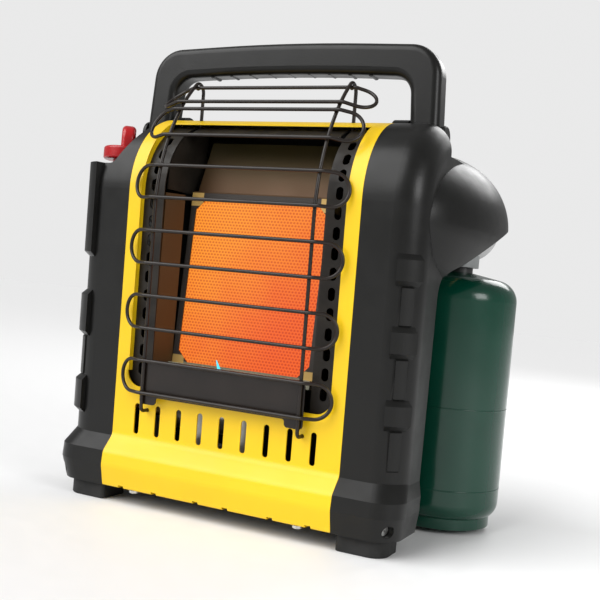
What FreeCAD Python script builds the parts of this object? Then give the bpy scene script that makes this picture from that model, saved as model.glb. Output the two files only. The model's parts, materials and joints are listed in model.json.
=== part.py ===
"""Portable propane heater: a radiant ceramic burner in a yellow sheet steel front,
between two black side casings, with a wire guard, a folding handle and a small gas
cylinder that hangs from a swivelling regulator. Millimetres, +Z up, front towards -Y."""
import FreeCAD, Part
import math
import os
from FreeCAD import Vector

# Body
body_half_width = 146.0
panel_half_width = 99.8
body_rear = 142.0
base_height = 13.0
body_top = 316.5
face_low_y = 5.0
face_low_z = 51.0
face_lean = 0.0357
front_top_radius = 63.6
rear_slope_start = 92.0
rear_slope_end = 275.0
rear_slope_radius = 40.0
rear_corner_radius = 30.0
casing_corner = 22.0
casing_wall = 2.5
sheet = 1.2
fit_gap = 0.3

# Front bumper
bumper_low = 8.0
bumper_reach = 12.4
bumper_side = 3.0
bumper_mid_z = 30.0
bumper_crest_z = 41.0
bumper_top_z = 53.0

# Front panel openings
window_half_width = 89.0
window_bottom = 94.5
window_rear = 34.0
window_corner = 12.0
panel_rear = 52.0
slot_count = 9
slot_pitch = 19.36
slot_width = 4.8
slot_low = 56.6
slot_high = 81.2
lip_depth = 5.0

# Wire guard
wire = 2.8
guard_half = 92.4
guard_bar_half = 12.7
guard_wire_x = 68.0
guard_low_y = -5.0
guard_low_z = 84.0
guard_straight = 150.6
guard_lean = 2.3
guard_radius = 140.0
guard_end = 268.0
guard_peak = 16.5
guard_hook_bend = 4.0
guard_top_bend = 7.0
guard_first = 20.4
guard_pitch = 50.7
guard_last = 256.0
guard_bend_start = 71.5
guard_bend = 6.0
guard_droop = 8.5
guard_leg_y = 44.5
plate_half = 71.0
plate_low = 88.5
plate_high = 118.0

# Handle
handle_y = 67.5
handle_depth = 22.0
handle_top = 382.3
handle_corner = 26.0
handle_inner_corner = 15.0
handle_edge = 6.0
arch_rise = 4.8
arch_radius = 1800.0
rib_count = 9
rib_pitch = 17.9
rib_radius = 2.2
pin_head_radius = 10.0
grip_under = 358.0
pivot_z = 307.0
leg_end_radius = 11.0
pin_radius = 4.0
ear_radius = 14.0
ear_inner = panel_half_width - 5.8
ear_thick = 12.6
ear_outer = ear_inner + ear_thick
leg_gap = 2.6
leg_thick = 22.8
leg_taper = 4.4
handle_inner_low = ear_outer + leg_gap
handle_half_low = handle_inner_low + leg_thick
handle_inner_top = handle_inner_low - leg_taper
handle_half_top = handle_half_low - leg_taper
channel_floor = 291.0
fold_room = 2.2
channel_front = 50.0

# Gas cylinder
cylinder_x = body_half_width - 13.0
cylinder_y = 147.0
cylinder_radius = 48.5
cylinder_bottom = 4.0
cylinder_shoulder = 189.0
cylinder_neck_z = 210.0
cylinder_wall = 1.0
neck_radius = 10.5
thread_radius = 12.65
thread_length = 11.0
well_gap = 4.0
well_front = 49.0
well_top = 213.5
well_round = 27.0

# Regulator and its dome
dome_x = 118.0
dome_y = 112.0
dome_z = 243.0
dome_radius = 57.5
dome_front = 110.0
dome_back = 80.0
rim_slope = 0.676
rim_rise = 17.7
rim_pivot_y = 117.0
swivel_z = 246.0
drum_radius = 26.0
drum_depth = 36.0
cap_depth = 5.0
spindle_radius = 7.0
spindle_front = 51.0
spindle_seat = 28.0
drum_front = 127.0
running_gap = 0.05
socket_low = 214.4
socket_top = 232.0
socket_radius = 15.0

# Knob and valve
knob_x = 15.0 - body_half_width
knob_y = 33.0
platform_z = 271.0
knob_radius = 19.5
knob_disc_z = 277.0
knob_disc = 11.0
knob_neck = 11.3
knob_top = 306.0
fin_width = 11.5
fin_turn = 36.0
fin_length = 37.0
stem_radius = 3.0
valve_top = 258.0
valve_bottom = 212.0

# Burner
tile_half_width = 59.0
tile_bottom = 116.0
tile_top = 250.0
tile_low_y = 27.0
tile_lean = 3.4
tile_thick = 12.0
frame_margin = 4.0
frame_half_width = tile_half_width + frame_margin
plenum_depth = 26.0
venturi_radius = 11.0
tube_radius = 3.2
tube_bore = 2.2

# Feet and fasteners
foot_inner = 102.0
foot_outer = 139.0
foot_front = 3.0
foot_length = 30.0
foot_corner = 13.0
screw_head = 4.0
screw_shank = 1.9

# Rear, lining and interior places
well_side = cylinder_x - cylinder_radius - well_gap - 2.5
well_wall_y = 100.0
rear_foot_y = 107.0
louvre_count = 8
louvre_pitch = 18.0
louvre_low = 60.0
louvre_row = 120.0
louvre_length = 60.0
base_screw_x = 72.0
base_screw_y = 2.0
recess_floor = 7.0
lining_inset = 5.2
lining_rear = 50.0
strip_inner = 70.2
strip_outer = 94.0
strip_middle = 80.0
strip_hole_width = 5.6
strip_hole_height = 9.6
top_strip_front = 27.0
strip_holes = 14
strip_first = 14.0
strip_pitch = 14.7
hood_half = 64.0
gusset = 9.0
frame_lip = 0.6
venturi_y = 54.0
venturi_z = 70.0
venturi_mouth = -80.0
pilot_x = -10.0
pilot_y = 14.0
pilot_z = 98.0
pilot_gap = 8.0
pilot_tube_z = 44.0
ignition_lead_z = 52.0
sensor_lead_z = 24.0
piezo_x = -108.5
piezo_y = 38.0
supply_z = 36.0
switch_x = -50.0
switch_y = 100.0
parts = {}


def box(x0, x1, y0, y1, z0, z1):
    return Part.makeBox(x1 - x0, y1 - y0, z1 - z0, Vector(x0, y0, z0))


def rod(radius, start, end):
    axis = end - start
    return Part.makeCylinder(radius, axis.Length, start, axis)


def mirrored(shape):
    return shape.mirror(Vector(0, 0, 0), Vector(1, 0, 0))


def in_yz(x):
    return lambda a, b: Vector(x, a, b)


def in_xz(y):
    return lambda a, b: Vector(a, y, b)


def in_xy(z):
    return lambda a, b: Vector(a, b, z)


def inset_points(points, distance):
    """Move each side of a counter-clockwise outline inwards."""
    moved = []
    count = len(points)
    for i in range(count):
        a = points[i - 1]
        b = points[i]
        c = points[(i + 1) % count]
        first = math.atan2(b[1] - a[1], b[0] - a[0])
        second = math.atan2(c[1] - b[1], c[0] - b[0])
        half = (second - first) / 2
        reach = distance / math.cos(half)
        aim = first + half + math.pi / 2
        moved.append((b[0] + reach * math.cos(aim), b[1] + reach * math.sin(aim)))
    return moved


def outline(points, radii, place):
    """A closed wire through the points, with each corner rounded by its radius."""
    edges = []
    starts = []
    count = len(points)
    for i in range(count):
        before = place(*points[i - 1])
        corner = place(*points[i])
        after = place(*points[(i + 1) % count])
        inward = (corner - before).normalize()
        outward = (after - corner).normalize()
        turn = inward.getAngle(outward)
        radius = max(radii[i], 0.0)
        if radius < 0.01 or turn < 0.001:
            starts.append((corner, corner, None))
            continue
        reach = radius * math.tan(turn / 2)
        first = corner - inward * reach
        last = corner + outward * reach
        bisector = (outward - inward).normalize()
        middle = corner + bisector * (radius / math.cos(turn / 2) - radius)
        starts.append((first, last, middle))
    for i in range(count):
        first, last, middle = starts[i]
        following = starts[(i + 1) % count][0]
        if middle is not None:
            edges.append(Part.Arc(first, middle, last).toShape())
        if (following - last).Length > 0.001:
            edges.append(Part.LineSegment(last, following).toShape())
    return Part.Wire(edges)


def slab(points, radii, place, direction):
    """Extrude a rounded outline."""
    return Part.Face(outline(points, radii, place)).extrude(direction)


def tube_bent(points, bends, radius):
    """A round bar along straight runs joined by tangent arcs, one bend per inner point."""
    edges = []
    at = points[0]
    for i in range(1, len(points) - 1):
        inward = (points[i] - points[i - 1]).normalize()
        outward = (points[i + 1] - points[i]).normalize()
        turn = inward.getAngle(outward)
        reach = bends[i - 1] * math.tan(turn / 2)
        first = points[i] - inward * reach
        last = points[i] + outward * reach
        bisector = (outward - inward).normalize()
        middle = points[i] + bisector * (bends[i - 1] / math.cos(turn / 2) - bends[i - 1])
        if (first - at).Length > 0.001:
            edges.append(Part.LineSegment(at, first).toShape())
        edges.append(Part.Arc(first, middle, last).toShape())
        at = last
    edges.append(Part.LineSegment(at, points[-1]).toShape())
    path = Part.Wire(edges)
    aim = points[1] - points[0]
    section = Part.Wire(Part.makeCircle(radius, points[0], aim))
    return path.makePipeShell([section], True, False)


def gas_tube(points, bends):
    return tube_bent(points, bends, tube_radius).cut(tube_bent(points, bends, tube_bore))


# Side profile of the body, in Y and Z
def face_y(z):
    return face_low_y - face_lean * (z - face_low_z)


def profile_points(inset):
    corners = [
        (face_y(base_height), base_height),
        (body_rear, base_height),
        (body_rear, rear_slope_end),
        (rear_slope_start, body_top),
        (face_y(body_top), body_top),
    ]
    return inset_points(corners, inset)


def profile_radii(inset):
    return [0, 0, rear_corner_radius - inset, rear_slope_radius - inset, front_top_radius - inset]


def profile_slab(x0, x1, inset):
    return slab(profile_points(inset), profile_radii(inset), in_yz(x0), Vector(x1 - x0, 0, 0))


def front_place(run):
    """Point and slope on the face, measured up from the window's bottom edge."""
    lean = math.atan(face_lean)
    tangent = front_top_radius * math.tan((math.pi / 2 + lean) / 2)
    straight = (body_top - tangent - window_bottom) / math.cos(lean)
    if run <= straight:
        z = window_bottom + run * math.cos(lean)
        return face_y(z), z, -lean
    angle = (run - straight) / front_top_radius - lean
    top_y = face_y(body_top) + tangent
    y = top_y - front_top_radius * math.cos(angle)
    z = body_top - front_top_radius + front_top_radius * math.sin(angle)
    return y, z, angle


# Front panel
def bumper_profile(inset):
    """Outline of the bumper and the face above it, for the sheet panel."""
    base_y = face_y(bumper_mid_z)
    points = [
        (base_y - bumper_low, base_height),
        (base_y + 8, base_height),
        (face_y(bumper_top_z + 30) + 8, bumper_top_z + 30),
        (face_y(bumper_top_z + 30), bumper_top_z + 30),
        (face_y(bumper_top_z), bumper_top_z),
        (base_y - bumper_reach + 1, bumper_crest_z),
        (base_y - bumper_reach, bumper_mid_z),
    ]
    radii = [2 - inset, 0, 0, 0, 8 + inset, 7 - inset, 12 - inset]
    return outline(inset_points(points, inset), radii, in_yz(-panel_half_width))


def window_cut(half_width, bottom, rear, corner):
    points = [(-half_width, bottom), (half_width, bottom), (half_width, body_top + 30), (-half_width, body_top + 30)]
    cut = slab(points, [corner, corner, 0, 0], in_xz(-60), Vector(0, 60 + rear, 0))
    return cut


def panel_solid():
    across = 2 * panel_half_width
    outer = profile_slab(-panel_half_width, panel_half_width, 0)
    inner = profile_slab(-panel_half_width, panel_half_width, sheet)
    upper = outer.cut(inner)
    keep = box(-panel_half_width, panel_half_width, -40, panel_rear, bumper_top_z + 20, body_top + 5)
    upper = upper.common(keep.cut(box(-200, 200, 30, 200, 0, body_top - 20)))
    bump_out = Part.Face(bumper_profile(0)).extrude(Vector(across, 0, 0))
    bump_in = Part.Face(bumper_profile(sheet)).extrude(Vector(across, 0, 0))
    front = box(-200, 200, -40, face_y(bumper_top_z) + 1, base_height - 1, bumper_top_z + 20)
    lower = bump_out.cut(bump_in).common(front)
    return upper.fuse(lower).removeSplitter()


def front_panel():
    panel = panel_solid()
    panel = panel.cut(window_cut(window_half_width, window_bottom, window_rear, window_corner))
    panel = panel.fuse(window_lip())
    slot = slab(
        [(-slot_width / 2, slot_low), (slot_width / 2, slot_low), (slot_width / 2, slot_high), (-slot_width / 2, slot_high)],
        [slot_width / 2 - 0.01] * 4, in_xz(-30), Vector(0, 50, 0))
    for i in range(slot_count):
        offset = (i - (slot_count - 1) / 2) * slot_pitch
        panel = panel.cut(slot.translated(Vector(offset, 0, 0)))
    for side in (-1, 1):
        x = side * guard_wire_x
        panel = panel.cut(rod(wire / 2 + 0.3, Vector(x, -20, guard_low_z - 7), Vector(x, 20, guard_low_z - 7)))
        panel = panel.cut(rod(wire / 2 + 0.6, Vector(x, guard_leg_y, body_top - 9), Vector(x, guard_leg_y, body_top + 9)))
    for middle in (13, 51, 82):
        for x in (-middle, middle):
            panel = panel.cut(box(x - 2.4, x + 2.4, -30, 30, base_height - 1, base_height + 2.2))
    panel = cut_all(panel, base_screw_shanks())
    return panel.removeSplitter()


def window_lip():
    """The window's two upright edges turn inwards."""
    lips = None
    for side in (-1, 1):
        x0 = side * window_half_width - sheet / 2
        strip = profile_slab(x0, x0 + sheet, 0).cut(profile_slab(x0, x0 + sheet, lip_depth))
        keep = box(-200, 200, -40, window_rear, window_bottom + window_corner, body_top)
        strip = strip.common(keep.cut(box(-200, 200, 40, 200, 0, 400)))
        lips = strip if lips is None else lips.fuse(strip)
    return lips


# Side casings
def casing_block(x0, inset):
    """The plain body of one side casing, grown inwards by inset."""
    block = profile_slab(x0, body_half_width - inset, inset)
    edges = []
    for edge in block.Edges:
        points = [edge.valueAt(edge.FirstParameter), edge.valueAt(edge.LastParameter)]
        outer = all(abs(p.x - body_half_width + inset) < 0.01 for p in points)
        floor = all(p.z < base_height + inset + 0.01 for p in points)
        if outer and not floor:
            edges.append(edge)
    return block.makeFillet(casing_corner - inset, edges)


def bumper_outline(z, front, side, x0):
    corner = 20.0
    y0 = face_y(bumper_mid_z) - front
    x1 = body_half_width + side
    y1 = body_rear - casing_corner
    points = [(x0, y0), (x1, y0), (x1, y1), (x0, y1)]
    return outline(points, [0, corner, 0, 0], in_xy(z))


def bumper_band(x0, inset):
    """The flared foot of a side casing."""
    levels = [
        (base_height + inset, bumper_low, 0),
        (bumper_mid_z, bumper_reach, bumper_side),
        (bumper_crest_z - inset / 2, bumper_reach - 1, bumper_side),
        (bumper_top_z - inset, 0, -0.5),
    ]
    wires = [bumper_outline(z, front - inset, side - inset, x0) for z, front, side in levels]
    return Part.makeLoft(wires, True, True)


def corner_pad(low, high, reach, start, end):
    """A pad that stands out of the casing's rounded front corner."""
    inner = casing_corner - 3
    outer = casing_corner + reach
    slope = min(4.0, reach)
    points = [(inner, low), (casing_corner, low), (outer, low + slope), (outer, high - slope), (casing_corner, high), (inner, high)]
    wire_loop = Part.makePolygon([Vector(r, 0, z) for r, z in points + points[:1]])
    pad = Part.Face(wire_loop).revolve(Vector(0, 0, 0), Vector(0, 0, 1), end - start)
    pad.rotate(Vector(0, 0, 0), Vector(0, 0, 1), start)
    middle = (low + high) / 2
    lean = math.degrees(math.atan(face_lean))
    pad.rotate(Vector(0, 0, middle), Vector(1, 0, 0), lean)
    pad.translate(Vector(body_half_width - casing_corner, face_y(middle) + casing_corner, 0))
    return pad


def corner_pads(spans, runs):
    pads = [corner_pad(low, high, 4.3, -74, -29) for low, high in spans]
    pads += [corner_pad(low, high, 0.9, -62, -40) for low, high in runs]
    return pads


def ear():
    """The casing's lug on the inner side of a handle leg."""
    disc = rod(ear_radius, Vector(ear_inner, handle_y, pivot_z), Vector(ear_outer, handle_y, pivot_z))
    web = box(ear_inner, ear_outer, handle_y - ear_radius, handle_y + ear_radius, body_top - 16, pivot_z)
    return disc.fuse(web)


def handle_channel(rear):
    cut = box(ear_outer, body_half_width + 40, channel_front, rear, channel_floor, body_top + 40)
    behind_ear = handle_y + ear_radius + 1
    return cut.fuse(box(ear_outer - fold_room, ear_outer, behind_ear, rear, channel_floor, body_top + 40))


def recess_axis():
    corner = Vector(body_half_width - 17, face_y(bumper_mid_z) + 6, 21)
    return corner, Vector(0.783, -0.622, 0)


def screw_recess():
    """The round hole in the corner of the bumper, with its screw's own hole."""
    corner, aim = recess_axis()
    hole = rod(4.6, corner + aim * recess_floor, corner + aim * 40)
    return hole.fuse(rod(screw_shank, corner - aim * 13, corner + aim * 10))


def recess_boss():
    corner, aim = recess_axis()
    return rod(6.8, corner + aim * (recess_floor - 2.5), corner + aim * 40)


def plain_casing():
    shell = casing_block(panel_half_width + 0.2, 0).cut(handle_channel(body_rear + 20))
    shell = shell.fuse(bumper_band(panel_half_width + 0.2, 0))
    return shell


def casing_void():
    void = casing_block(panel_half_width - 5, casing_wall).cut(handle_channel_grown())
    return void.fuse(bumper_band(panel_half_width - 5, casing_wall)).cut(recess_boss())


def handle_channel_grown():
    w = casing_wall
    floor = channel_floor - w
    inner = ear_outer - fold_room - w
    return box(inner, body_half_width + 40, channel_front - w, body_rear + 40, floor, body_top + 40)


def knob_platform(grow):
    """What is cut from the left casing above the valve."""
    z = platform_z - grow
    slope_foot = -knob_x - 11 - grow
    slope_top = -knob_x - 29 - grow
    far = body_half_width + 100
    points = [(slope_foot, z), (far, z), (far, body_top + 20), (slope_top - 2, body_top + 20), (slope_top, body_top - 8)]
    shelf = slab(points, [6, 0, 0, 0, 10], in_xz(-40), Vector(0, 40 + channel_front + grow, 0))
    axis = Vector(-knob_x, knob_y, z)
    return shelf.fuse(rod(knob_radius + 1.6 + grow, axis, axis + Vector(0, 0, 80)))


def left_casing():
    outer = plain_casing().cut(knob_platform(0))
    pads = corner_pads([(130, 168), (67, 98)], [(98, 130)])
    pads.append(corner_pad(195, platform_z + 6, 4.3, -74, -8))
    outer = outer.fuse(pads).fuse(ear())
    outer = outer.cut(box(0, 300, -40, channel_front, platform_z, body_top).common(knob_platform(0)))
    casing = outer.cut(casing_void().cut(knob_platform(casing_wall)))
    casing = casing.cut(rod(pin_radius, Vector(80, handle_y, pivot_z), Vector(115, handle_y, pivot_z)))
    casing = casing.cut(rod(knob_neck + 1.2, Vector(-knob_x, knob_y, platform_z - 20), Vector(-knob_x, knob_y, platform_z + 20)))
    casing = casing.cut(screw_recess())
    return mirrored(casing).removeSplitter()


# Right casing with the cylinder well and the regulator dome
def well_plan(grow):
    """Plan outline of the well: a slanted front wall that meets an arc round the cylinder."""
    radius = cylinder_radius + well_gap + grow
    corner = Vector(body_half_width, well_front - grow * 1.3, 0)
    centre = Vector(cylinder_x, cylinder_y, 0)
    away = centre - corner
    tangent = math.sqrt(away.Length ** 2 - radius ** 2)
    aim = math.atan2(away.y, away.x) + math.asin(radius / away.Length)
    touch = corner + Vector(math.cos(aim), math.sin(aim), 0) * tangent
    side = centre + Vector(-radius, 0, 0)
    half = (math.atan2(touch.y - centre.y, touch.x - centre.x) % (2 * math.pi) + math.pi) / 2
    middle = centre + Vector(math.cos(half), math.sin(half), 0) * radius
    out = corner - Vector(math.cos(aim), math.sin(aim), 0) * 120
    far = 330
    edges = [
        Part.LineSegment(out, touch).toShape(),
        Part.Arc(touch, middle, side).toShape(),
        Part.LineSegment(side, Vector(side.x, far, 0)).toShape(),
        Part.LineSegment(Vector(side.x, far, 0), Vector(far, far, 0)).toShape(),
        Part.LineSegment(Vector(far, far, 0), Vector(far, out.y, 0)).toShape(),
        Part.LineSegment(Vector(far, out.y, 0), out).toShape(),
    ]
    return Part.Face(Part.Wire(edges))


def well_volume():
    well = well_plan(0).extrude(Vector(0, 0, well_top))
    edges = []
    for edge in well.Edges:
        middle = edge.valueAt((edge.FirstParameter + edge.LastParameter) / 2)
        flat = abs(middle.z - well_top) < 0.01
        slanted = middle.x < 250 and middle.y < 140 and middle.x > body_half_width - 60
        if flat and slanted and edge.Curve.TypeId == "Part::GeomLine":
            edges.append(edge)
    return well.makeFillet(well_round, edges)


def dome_solid(inset):
    """An egg that lies along Y, longer towards the front."""
    radius = dome_radius - inset
    front = dome_front - inset
    back = dome_back - inset
    centre = Vector(dome_x, dome_y, dome_z)
    halves = []
    for reach, aim in ((front, -1), (back, 1)):
        normal = Vector(aim, 0, 0)
        ellipse = Part.Ellipse(Vector(dome_x, dome_y + aim * reach, dome_z), Vector(dome_x, dome_y, dome_z + radius), centre)
        if reach < radius:
            ellipse = Part.Ellipse(Vector(dome_x, dome_y, dome_z + radius), Vector(dome_x, dome_y + aim * reach, dome_z), centre)
        arc = Part.Arc(ellipse, 0, math.pi / 2).toShape()
        ends = [arc.valueAt(arc.FirstParameter), arc.valueAt(arc.LastParameter)]
        wire_loop = Part.Wire([arc, Part.LineSegment(ends[1], centre).toShape(), Part.LineSegment(centre, ends[0]).toShape()])
        halves.append(Part.Face(wire_loop).revolve(centre, Vector(0, 1, 0), 360))
    return halves[0].fuse(halves[1])


def under_dome(grow):
    """Everything under the dome's slanted rim."""
    tip_x = dome_x + dome_radius + 2
    z = dome_z - grow
    reach = 160.0
    low = z - reach * rim_slope
    points = [(tip_x - reach, low), (tip_x + 60, low), (tip_x + 60, z + 60 * rim_slope)]
    under = slab(points, [0, 0, 0], in_xz(-150), Vector(0, 500, 0))
    under.rotate(Vector(tip_x, rim_pivot_y, z), Vector(1, 0, 0), rim_rise)
    return under


def right_casing():
    w = casing_wall
    shell = plain_casing()
    join = panel_half_width + 1
    block = box(well_side, join, well_wall_y, body_rear, base_height, body_top)
    behind = profile_slab(well_side, join, 0).common(block)
    shell = shell.fuse(behind)
    hood = dome_solid(0).cut(under_dome(0))
    hood = hood.common(box(panel_half_width + 0.2, 300, -20, 300, 150, 400))
    hood = hood.cut(box(0, 300, channel_front, handle_y + 17, channel_floor, 400))
    shell = shell.fuse(hood)
    spans = [(193, 216), (142, 165), (91, 113)]
    pads = corner_pads(spans, [(165, 193), (113, 142), (62, 91)])
    shell = shell.fuse(pads).fuse(ear())
    space = dome_solid(w).common(well_plan(-w).extrude(Vector(0, 0, 400)))
    space = space.common(box(0, 400, 0, 400, well_top - 30, 400)).cut(box(0, 300, channel_front - w, handle_y + 17 + w, channel_floor - w, 400))
    hollow = box(well_side - 8, join, well_wall_y + w, body_rear - w, base_height + w, body_top)
    void = casing_void().fuse(profile_slab(well_side - 8, join, w).common(hollow))
    void = void.cut(well_plan(w).extrude(Vector(0, 0, 400)))
    casing = shell.cut(void).cut(well_volume()).cut(space)
    casing = casing.cut(rod(pin_radius, Vector(80, handle_y, pivot_z), Vector(115, handle_y, pivot_z)))
    casing = casing.cut(rod(spindle_radius + 0.3, Vector(cylinder_x, 40, swivel_z), Vector(cylinder_x, 100, swivel_z)))
    casing = casing.cut(screw_recess())
    return casing.removeSplitter()


# Rear cover, base and feet
def behind_well():
    """The corner that the right casing takes from the cover and the base."""
    return box(well_side - fit_gap, 120, well_wall_y - fit_gap, 200, 0, 400)


def rear_cover():
    outer = profile_slab(-panel_half_width, panel_half_width, 0)
    cover = outer.cut(profile_slab(-panel_half_width, panel_half_width, sheet))
    floor = base_height + sheet
    cover = cover.common(box(-120, 120, panel_rear + fit_gap, 200, floor, 400))
    for side in (-1, 1):
        x0, x1 = sorted((side * (ear_inner - fit_gap), side * 120))
        notch = ear_radius + fit_gap
        cover = cover.cut(box(x0, x1, handle_y - notch, handle_y + notch, 290, 400))
    flange = box(-panel_half_width, well_side - fit_gap, body_rear - 14, body_rear - sheet, floor, floor + sheet)
    cover = cover.fuse(flange).cut(behind_well())
    for row in range(2):
        for i in range(louvre_count):
            x = (i - (louvre_count - 1) / 2) * louvre_pitch - 12
            z = louvre_low + row * louvre_row
            points = [(x - 2, z), (x + 2, z), (x + 2, z + louvre_length), (x - 2, z + louvre_length)]
            cover = cover.cut(slab(points, [1.9] * 4, in_xz(body_rear - 10), Vector(0, 20, 0)))
    return cut_all(cover, base_screw_shanks()).removeSplitter()


def base_pan():
    pan = box(-panel_half_width, panel_half_width, 6.6, body_rear, base_height, base_height + sheet)
    pan = pan.cut(behind_well())
    return cut_all(pan, base_screw_shanks())


def foot(x0, x1, y0):
    points = [(x0, y0), (x1, y0), (x1, y0 + foot_length), (x0, y0 + foot_length)]
    radii = [3, foot_corner, 3, 3]
    body = slab(points, radii, in_xy(0), Vector(0, 0, base_height))
    rim = [edge for edge in body.Edges if edge.BoundBox.ZMax < 0.01]
    return body.makeFillet(1.2, rim)


def rear_right_foot():
    x1 = well_side - fit_gap
    points = [(x1 - 33, rear_foot_y), (x1, rear_foot_y), (x1, rear_foot_y + foot_length), (x1 - 33, rear_foot_y + foot_length)]
    body = slab(points, [3] * 4, in_xy(0), Vector(0, 0, base_height))
    return body.makeFillet(1.2, [edge for edge in body.Edges if edge.BoundBox.ZMax < 0.01])


# Fasteners
def cut_all(shape, tools):
    for tool in tools:
        shape = shape.cut(tool)
    return shape


def base_screw_places():
    front = [Vector(side * base_screw_x, base_screw_y, base_height) for side in (-1, 1)]
    rear = [Vector(side * base_screw_x * 0.5, body_rear - 8, base_height) for side in (-1, 1)]
    return front + rear


def base_screw_shanks():
    return [rod(screw_shank, place, place + Vector(0, 0, 9)) for place in base_screw_places()]


def base_screws():
    screws = []
    for place in base_screw_places():
        head = rod(screw_head, place - Vector(0, 0, 2.4), place)
        head = head.makeFillet(1.2, [head.Edges[i] for i in bottom_edges(head)])
        head = head.cut(cross_recess(place - Vector(0, 0, 2.4), Vector(0, 0, 1)))
        screws.append(head.fuse(rod(screw_shank, place, place + Vector(0, 0, 9))).removeSplitter())
    return Part.makeCompound(screws)


def bottom_edges(shape):
    low = shape.BoundBox.ZMin
    return [i for i, edge in enumerate(shape.Edges) if edge.BoundBox.ZMax < low + 0.01]


def cross_recess(place, inward):
    """A cross-shaped driver recess that opens at place."""
    bar = box(-2.2, 2.2, -0.5, 0.5, 0, 1.2)
    cross = bar.fuse(box(-0.5, 0.5, -2.2, 2.2, 0, 1.2))
    cross.Placement = FreeCAD.Placement(place, FreeCAD.Rotation(Vector(0, 0, 1), inward))
    return cross


def casing_screws():
    corner, aim = recess_axis()
    seat = corner + aim * recess_floor
    head = rod(screw_head, seat, seat + aim * 2.6)
    head = head.cut(cross_recess(seat + aim * 2.6, aim * -1))
    screw = head.fuse(rod(screw_shank, seat - aim * 12, seat)).removeSplitter()
    return Part.makeCompound([screw, mirrored(screw)])


# Handle
def leg_outline():
    outer_low = (handle_half_low, pivot_z - leg_end_radius)
    outer_top = (handle_half_top, handle_top - arch_rise)
    inner_top = (handle_inner_top, grip_under - arch_rise)
    inner_low = (handle_inner_low, pivot_z - leg_end_radius)
    left = [(-x, z) for x, z in (outer_low, outer_top)]
    right = [outer_top, outer_low, inner_low, inner_top]
    under = [(-x, z) for x, z in (inner_top, inner_low)]
    points = left + [(0, handle_top)] + right + [(0, grip_under)] + under
    inner = handle_inner_corner
    radii = [0, handle_corner, arch_radius, handle_corner, 0, 0, inner, arch_radius, inner, 0]
    return points, radii


def handle():
    y0 = handle_y - handle_depth / 2
    points, radii = leg_outline()
    body = slab(points, radii, in_xz(y0), Vector(0, handle_depth, 0))
    soft = []
    for edge in body.Edges:
        bounds = edge.BoundBox
        flat = bounds.YLength < 0.01
        low = bounds.ZMax < pivot_z - leg_end_radius + 0.1
        if flat and not low:
            soft.append(edge)
    body = body.makeFillet(handle_edge, soft)
    for i in range(rib_count):
        x = (i - (rib_count - 1) / 2) * rib_pitch
        z = grip_under - arch_rise * (x / handle_inner_top) ** 2
        rib = rod(rib_radius, Vector(x, y0 + 5, z), Vector(x, y0 + handle_depth - 5, z))
        body = body.fuse(rib)
    for side in (-1, 1):
        a = Vector(side * 100, handle_y, pivot_z)
        b = Vector(side * 140, handle_y, pivot_z)
        end = rod(leg_end_radius, a, b)
        x0, x1 = sorted((a.x, b.x))
        lower = box(x0, x1, y0 - 1, y0 + handle_depth + 1, pivot_z - 30, pivot_z)
        body = body.cut(lower.cut(end)).cut(rod(pin_radius + running_gap, a, b))
    return body.removeSplitter()


def handle_pivot_pins():
    head = handle_half_low + fit_gap
    a = Vector(ear_inner - 2, handle_y, pivot_z)
    b = Vector(head, handle_y, pivot_z)
    cap = rod(pin_head_radius, b, b + Vector(3.4, 0, 0))
    rim = [edge for edge in cap.Edges if edge.BoundBox.XMin > head + 3.3]
    pin = rod(pin_radius, a, b).fuse(cap.makeFillet(1.4, rim)).removeSplitter()
    return Part.makeCompound([pin, mirrored(pin)])


# Wire guard
def guard_place(run):
    """Point, slope and normal on the centre line of an upright."""
    lean = math.radians(guard_lean)
    if run <= guard_straight:
        along = (-math.sin(lean), math.cos(lean))
        point = (guard_low_y + run * along[0], guard_low_z + run * along[1])
        return point, along, (-along[1], along[0])
    angle = (run - guard_straight) / guard_radius - lean
    start, along, normal = guard_place(guard_straight)
    centre = (start[0] - guard_radius * normal[0], start[1] - guard_radius * normal[1])
    outward = (-math.cos(angle), math.sin(angle))
    point = (centre[0] + guard_radius * outward[0], centre[1] + guard_radius * outward[1])
    return point, (math.sin(angle), math.cos(angle)), outward


def guard_upright():
    lean = math.radians(guard_lean)
    end, along, outward = guard_place(guard_end)
    turn = (guard_end - guard_straight) / guard_radius
    top, up, normal = guard_place(guard_straight)
    reach = guard_radius * math.tan(turn / 2)
    corner = (top[0] + up[0] * reach, top[1] + up[1] * reach)
    peak = (end[0] + along[0] * guard_peak, end[1] + along[1] * guard_peak)
    hook_z = guard_low_z - 7
    low = guard_low_y + 7 * math.sin(lean)
    route = [(9, hook_z), (low, hook_z), corner, peak, (guard_leg_y, body_top - 10)]
    points = [Vector(guard_wire_x, y, z) for y, z in route]
    return tube_bent(points, [guard_hook_bend, guard_radius, guard_top_bend], wire / 2)


def bar_gap(run, side):
    """How far a bar lies outside (side 1) or inside (side -1) the centre line of the uprights."""
    gap = side * (wire + 0.05)
    if run > guard_straight:
        gap = math.sqrt((guard_radius + gap) ** 2 - guard_bar_half ** 2) - guard_radius
    return gap


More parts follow.
